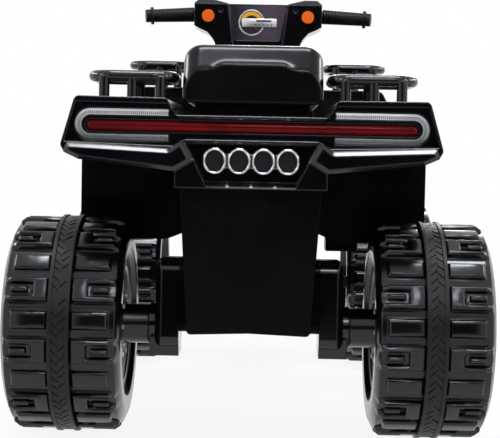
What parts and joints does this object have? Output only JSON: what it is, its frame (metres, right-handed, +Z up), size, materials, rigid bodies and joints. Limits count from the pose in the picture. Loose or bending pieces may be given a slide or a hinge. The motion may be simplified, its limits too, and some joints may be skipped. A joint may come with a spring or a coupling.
{
  "type": "children's electric quad bike",
  "caption": "Black four-wheeled ride-on toy quad bike with knobbly wheels, tip-up saddle, luggage racks, full-width tail light, mock exhausts and a steering handlebar with push buttons.",
  "frame": {"origin": "on the ground under the middle of the machine", "axes": "+Y forward along the machine, +X to the rider's right, +Z up"},
  "size_m": [0.646, 1.02, 0.6504],
  "materials": {
    "gloss_black": "moulded gloss",
    "satin_black": "satin",
    "wheel_black": "satin",
    "rubber_black": "matt",
    "chrome_trim": "plated",
    "dark_mesh": "matt",
    "red_lens": "clear gloss",
    "clear_lens": "clear gloss",
    "reflector": "mirror",
    "orange_button": "gloss",
    "dash_print": "gloss",
    "bright_steel": "zinc plated",
    "painted_steel": "powder coat",
    "battery_case": "matt"
  },
  "bodies": {
    "chassis": {"chassis_tub": "satin_black", "left_footwell": "satin_black", "right_footwell": "satin_black", "left_rear_rack": "satin_black", "right_rear_rack": "satin_black", "left_front_rack": "satin_black", "right_front_rack": "satin_black", "left_gearbox": "satin_black", "right_gearbox": "satin_black", "steering_bushes": "satin_black", "control_box": "satin_black", "battery_tray": "satin_black", "rear_fender": "gloss_black", "front_fender": "gloss_black", "tank_cover": "gloss_black", "light_bezel": "gloss_black", "tail_light_bar": "red_lens", "light_guides": "clear_lens", "headlight_lenses": "clear_lens", "headlight_reflectors": "reflector", "exhaust_trim": "chrome_trim", "exhaust_meshes": "dark_mesh", "front_bumper": "painted_steel", "front_axle_beam": "painted_steel", "battery": "battery_case", "drive_motors": "bright_steel", "rear_axle": "bright_steel", "rear_axle_nuts": "bright_steel", "king_pins": "bright_steel", "seat_hinge_pin": "bright_steel", "pedal_pin": "bright_steel"},
    "seat": {"seat": "gloss_black"},
    "handlebar": {"steering_column": "painted_steel", "handlebar_tube": "painted_steel", "handlebar_cowl": "satin_black", "handlebar_cover": "satin_black", "dash_panel": "dash_print", "handlebar_grips": "rubber_black"},
    "left_button": {"left_button": "orange_button"},
    "right_button": {"right_button": "orange_button"},
    "left_knuckle": {"left_knuckle": "painted_steel", "front_left_axle_nut": "bright_steel"},
    "right_knuckle": {"right_knuckle": "painted_steel", "front_right_axle_nut": "bright_steel"},
    "tie_rod": {"tie_rod": "painted_steel"},
    "rear_left_wheel": {"rear_left_wheel": "wheel_black", "rear_left_traction_band": "rubber_black", "rear_left_wheel_cover": "satin_black"},
    "rear_right_wheel": {"rear_right_wheel": "wheel_black", "rear_right_traction_band": "rubber_black", "rear_right_wheel_cover": "satin_black"},
    "front_left_wheel": {"front_left_wheel": "wheel_black", "front_left_traction_band": "rubber_black", "front_left_wheel_cover": "satin_black"},
    "front_right_wheel": {"front_right_wheel": "wheel_black", "front_right_traction_band": "rubber_black", "front_right_wheel_cover": "satin_black"},
    "accelerator_pedal": {"accelerator_pedal": "satin_black"},
    "power_switch": {"power_switch": "gloss_black"},
    "direction_switch": {"direction_switch": "gloss_black"}
  },
  "joints": [
    {"name": "steering", "type": "hinge", "parent": "chassis", "child": "handlebar", "pos_m": [0, 0.28, 0.18], "axis": [0, -0.309, 0.9511], "range_deg": [-22, 22]},
    {"name": "left_knuckle_turn", "type": "hinge", "parent": "chassis", "child": "left_knuckle", "pos_m": [-0.14, 0.28, 0.15], "axis": [0, 0, 1], "range_deg": [-22, 22]},
    {"name": "right_knuckle_turn", "type": "hinge", "parent": "chassis", "child": "right_knuckle", "pos_m": [0.14, 0.28, 0.15], "axis": [0, 0, 1], "range_deg": [-22, 22]},
    {"name": "tie_rod_swing", "type": "hinge", "parent": "left_knuckle", "child": "tie_rod", "pos_m": [-0.14, 0.24, 0.149], "axis": [0, 0, 1], "range_deg": [-22, 22]},
    {"name": "rear_left_wheel_spin", "type": "hinge", "parent": "chassis", "child": "rear_left_wheel", "pos_m": [-0.245, -0.36, 0.15], "axis": [1, 0, 0], "continuous": true},
    {"name": "rear_right_wheel_spin", "type": "hinge", "parent": "chassis", "child": "rear_right_wheel", "pos_m": [0.245, -0.36, 0.15], "axis": [1, 0, 0], "continuous": true},
    {"name": "front_left_wheel_spin", "type": "hinge", "parent": "left_knuckle", "child": "front_left_wheel", "pos_m": [-0.245, 0.28, 0.15], "axis": [1, 0, 0], "continuous": true},
    {"name": "front_right_wheel_spin", "type": "hinge", "parent": "right_knuckle", "child": "front_right_wheel", "pos_m": [0.245, 0.28, 0.15], "axis": [1, 0, 0], "continuous": true},
    {"name": "seat_lift", "type": "hinge", "parent": "chassis", "child": "seat", "pos_m": [0, -0.078, 0.472], "axis": [-1, 0, 0], "range_deg": [0, 60]},
    {"name": "left_button_press", "type": "slide", "parent": "handlebar", "child": "left_button", "axis": [0, 1, 0], "range_m": [0, 0.003], "stiffness_N_per_m": 400, "springref_m": -0.001},
    {"name": "right_button_press", "type": "slide", "parent": "handlebar", "child": "right_button", "axis": [0, 1, 0], "range_m": [0, 0.003], "stiffness_N_per_m": 400, "springref_m": -0.001},
    {"name": "pedal_press", "type": "hinge", "parent": "chassis", "child": "accelerator_pedal", "pos_m": [0.17, -0.057, 0.2686], "axis": [-1, 0, 0], "range_deg": [0, 10], "stiffness_Nm_per_rad": 1.5, "springref_deg": -5.73},
    {"name": "power_switch_rock", "type": "hinge", "parent": "chassis", "child": "power_switch", "pos_m": [-0.046, 0.108, 0.523], "axis": [1, 0, 0], "range_deg": [-8, 8]},
    {"name": "direction_switch_rock", "type": "hinge", "parent": "chassis", "child": "direction_switch", "pos_m": [0.046, 0.108, 0.523], "axis": [1, 0, 0], "range_deg": [-8, 8]}
  ],
  "couplings": [
    {"joint": "left_knuckle_turn", "follows": "steering", "ratio": 1},
    {"joint": "right_knuckle_turn", "follows": "steering", "ratio": 1},
    {"joint": "tie_rod_swing", "follows": "steering", "ratio": -1}
  ]
}
